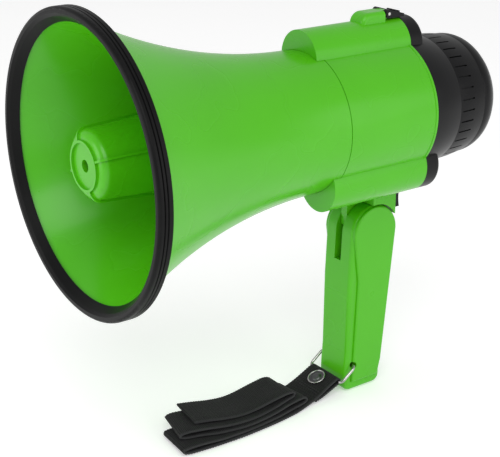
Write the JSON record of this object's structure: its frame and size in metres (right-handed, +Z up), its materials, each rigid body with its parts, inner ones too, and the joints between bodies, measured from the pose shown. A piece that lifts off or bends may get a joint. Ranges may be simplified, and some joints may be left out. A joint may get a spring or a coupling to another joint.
{
  "type": "handheld megaphone",
  "caption": "Handheld megaphone: flared horn with a black rim and reflector cup, ribbed barrel, speaking cup at the rear, folding pistol grip with a talk button and wrist strap.",
  "frame": {"origin": "middle of the flat foot of the unfolded grip", "axes": "+Z up, the horn's axis along Y with its mouth towards -Y and the speaking cup towards +Y, +X the megaphone's right seen from the speaker"},
  "size_m": [0.16, 0.2649, 0.255],
  "materials": {
    "green_shell": "moulded, satin gloss",
    "green_grip": "moulded, satin gloss",
    "black_rubber": "soft matt trim",
    "black_shell": "moulded, fine texture",
    "black_soft": "soft moulding",
    "steel_screw": "zinc plated",
    "ring_steel": "bright nickel plate",
    "magnet_ferrite": "bare ferrite",
    "plate_steel": "yellow zinc plate",
    "cell_case": "printed sleeve, plain",
    "diaphragm_film": "thin phenolic",
    "coil_copper": "enamelled wire",
    "board": "glass-epoxy board",
    "board_part": "moulded",
    "contact_steel": "nickel plated",
    "grille_mesh": "dark anodised",
    "webbing": "woven polyester"
  },
  "bodies": {
    "main_housing": {"horn_bell": "green_shell", "rim_trim": "black_rubber", "reflector_cup": "green_shell", "reflector_screw": "steel_screw", "tone_arm": "green_shell", "driver_gasket": "black_soft", "driver_frame": "black_shell", "driver_diaphragm": "diaphragm_film", "voice_coil": "coil_copper", "driver_top_plate": "plate_steel", "driver_magnet": "magnet_ferrite", "driver_yoke": "plate_steel", "driver_screws": "steel_screw", "rear_housing": "green_shell", "amplifier_board": "board", "board_parts": "board_part", "board_screws": "steel_screw", "battery_cell_top": "cell_case", "battery_cell_left": "cell_case", "battery_cell_right": "cell_case", "front_contacts": "contact_steel", "cell_springs": "contact_steel", "handle_neck": "green_shell", "neck_screws": "steel_screw", "talk_springs": "steel_screw", "talk_switch": "board_part"},
    "talk_button": {"talk_button": "black_shell"},
    "grip": {"grip_left": "green_grip", "grip_right": "green_grip", "grip_screws": "steel_screw", "pivot_bolt": "steel_screw"},
    "strap": {"strap_ring": "ring_steel", "wrist_strap": "webbing"},
    "rear_cover": {"rear_cover": "black_shell", "mouth_shield": "black_soft", "mic_grille": "grille_mesh", "mic_mount": "black_soft", "mic_capsule": "grille_mesh", "control_board": "board", "volume_control": "board_part", "mode_switch": "board_part", "rear_contacts": "contact_steel"},
    "cover_latch": {"cover_latch": "black_shell", "latch_pin": "steel_screw"},
    "volume_knob": {"volume_knob": "black_shell", "volume_shaft": "steel_screw"},
    "mode_slider": {"mode_slider": "black_shell"}
  },
  "joints": [
    {"name": "handle_fold", "type": "hinge", "parent": "main_housing", "child": "grip", "pos_m": [0, 0.0055, 0.102], "axis": [-1, 0, 0], "range_deg": [0, 80], "deforming": ["wrist_strap"]},
    {"name": "talk_press", "type": "slide", "parent": "main_housing", "child": "talk_button", "axis": [0, -1, 0], "range_m": [0, 0.0025], "stiffness_N_per_m": 400, "springref_m": -0.002, "deforming": ["talk_springs"]},
    {"name": "cover_pull", "type": "slide", "parent": "main_housing", "child": "rear_cover", "axis": [0, 1, 0], "range_m": [0, 0.06]},
    {"name": "latch_lift", "type": "hinge", "parent": "main_housing", "child": "cover_latch", "pos_m": [0, 0.0162, 0.2303], "axis": [1, 0, 0], "range_deg": [0, 60]},
    {"name": "volume_turn", "type": "hinge", "parent": "rear_cover", "child": "volume_knob", "pos_m": [0.012, 0.0685, 0.164], "axis": [0, 1, 0], "range_deg": [0, 280]},
    {"name": "mode_slide", "type": "slide", "parent": "rear_cover", "child": "mode_slider", "axis": [1, 0, 0], "range_m": [0, 0.004]},
    {"name": "strap_swing", "type": "hinge", "parent": "grip", "child": "strap", "pos_m": [0, -0.0085, 0.0175], "axis": [1, 0, 0], "range_deg": [-60, 10], "deforming": ["wrist_strap"]}
  ]
}
